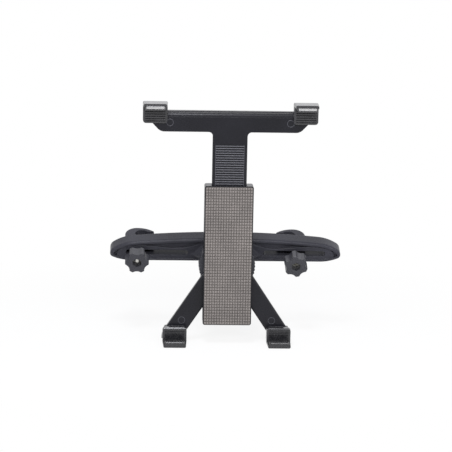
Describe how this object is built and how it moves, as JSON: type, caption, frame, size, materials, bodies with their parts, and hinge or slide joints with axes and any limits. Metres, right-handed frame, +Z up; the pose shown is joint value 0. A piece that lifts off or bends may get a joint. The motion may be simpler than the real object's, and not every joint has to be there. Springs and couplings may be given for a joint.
{
  "type": "tablet holder",
  "caption": "Car headrest tablet holder: slotted bar with post hooks and star knobs, ball joint, padded cradle, sliding top arm and folding legs with claws.",
  "frame": {"origin": "middle of the bar's length, on the plane of the two headrest post axes", "axes": "+Z up, +X to the right seen from the rear seat, -Y towards the rear passenger; the posts lean back"},
  "size_m": [0.227, 0.1079, 0.2348],
  "materials": {
    "black_abs": "fine spark-eroded texture",
    "black_nylon": "smooth moulded",
    "claw_rubber": "semi-gloss moulded",
    "pad_foam": "embossed matte",
    "zinc_steel": "zinc plated"
  },
  "bodies": {
    "bar": {"headrest_bar": "black_abs", "ball_stud": "black_nylon", "stud_screw": "zinc_steel"},
    "collar": {"ball_collar": "black_nylon"},
    "cup": {"ball_cup": "black_nylon"},
    "cradle": {"front_cover": "black_abs", "rear_cover": "black_abs", "grip_pad": "pad_foam", "friction_spring": "zinc_steel", "housing_screws": "zinc_steel", "pivot_screws": "zinc_steel"},
    "ring": {"clamp_ring": "black_abs"},
    "arm": {"top_arm": "black_abs", "top_left_claw": "claw_rubber", "top_right_claw": "claw_rubber", "top_claw_screws": "zinc_steel"},
    "leg_left": {"left_leg": "black_abs", "bottom_left_claw": "claw_rubber", "left_claw_screw": "zinc_steel"},
    "leg_right": {"right_leg": "black_abs", "bottom_right_claw": "claw_rubber", "right_claw_screw": "zinc_steel"},
    "hook_left": {"left_hook": "black_abs", "left_bolt": "zinc_steel"},
    "hook_right": {"right_hook": "black_abs", "right_bolt": "zinc_steel"},
    "knob_left": {"left_knob": "black_abs", "left_knob_nut": "zinc_steel"},
    "knob_right": {"right_knob": "black_abs", "right_knob_nut": "zinc_steel"}
  },
  "joints": [
    {"name": "ball_tilt", "type": "hinge", "parent": "bar", "child": "collar", "pos_m": [0, -0.04846, -0.01574], "axis": [1, 0, 0], "range_deg": [-6, 38]},
    {"name": "ball_pan", "type": "hinge", "parent": "collar", "child": "cup", "pos_m": [0, -0.04846, -0.01574], "axis": [0, 0, 1], "range_deg": [-18, 18]},
    {"name": "ball_swivel", "type": "hinge", "parent": "cup", "child": "cradle", "pos_m": [0, -0.04846, -0.01574], "axis": [0, 1, 0], "continuous": true},
    {"name": "ring_turn", "type": "hinge", "parent": "cradle", "child": "ring", "pos_m": [0, -0.04846, -0.01574], "axis": [0, 1, 0], "continuous": true},
    {"name": "arm_slide", "type": "slide", "parent": "cradle", "child": "arm", "axis": [0, 0, 1], "range_m": [-0.045, 0.022]},
    {"name": "left_leg_fold", "type": "hinge", "parent": "cradle", "child": "leg_left", "pos_m": [-0.0105, -0.06646, -0.01858], "axis": [0, 1, 0], "range_deg": [-26, 0]},
    {"name": "right_leg_fold", "type": "hinge", "parent": "cradle", "child": "leg_right", "pos_m": [0.0105, -0.06646, -0.01858], "axis": [0, 1, 0], "range_deg": [0, 26]},
    {"name": "left_hook_slide", "type": "slide", "parent": "bar", "child": "hook_left", "axis": [1, 0, 0], "range_m": [-0.008, 0.045]},
    {"name": "right_hook_slide", "type": "slide", "parent": "bar", "child": "hook_right", "axis": [1, 0, 0], "range_m": [-0.026, 0.027]},
    {"name": "left_knob_turn", "type": "hinge", "parent": "hook_left", "child": "knob_left", "pos_m": [-0.087, -0.03521, -0.0146], "axis": [0, 0.9511, 0.309], "continuous": true},
    {"name": "right_knob_turn", "type": "hinge", "parent": "hook_right", "child": "knob_right", "pos_m": [0.0678, -0.04187, -0.01676], "axis": [0, 0.9511, 0.309], "continuous": true}
  ]
}
